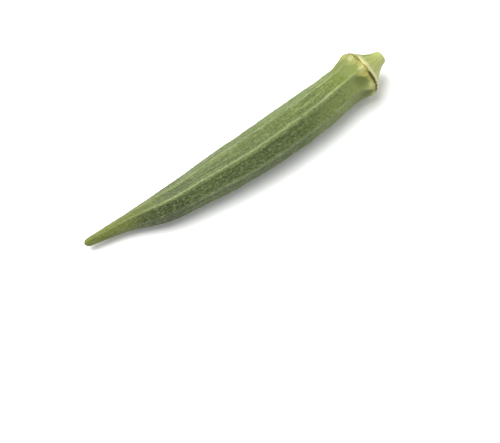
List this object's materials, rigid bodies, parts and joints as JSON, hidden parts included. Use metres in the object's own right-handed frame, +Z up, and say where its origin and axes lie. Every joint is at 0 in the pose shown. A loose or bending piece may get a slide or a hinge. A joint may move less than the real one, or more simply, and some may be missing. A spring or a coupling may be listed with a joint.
{
  "type": "okra pod",
  "caption": "Whole fresh okra pod lying on its side: ridged, gently bowed and tapering to a blunt beak, with a flared shoulder, a conical cap and a cut stem stub.",
  "frame": {"origin": "on the surface that the pod lies on, in the middle of its footprint", "axes": "+X along the pod from the beak to the cut stem, +Z up, -Y the side that the pod bows towards"},
  "size_m": [0.1302, 0.021, 0.017],
  "materials": {
    "pod_skin": "matte, finely hairy green plant skin"
  },
  "bodies": {
    "root": {"okra_pod": "pod_skin"}
  },
  "joints": []
}
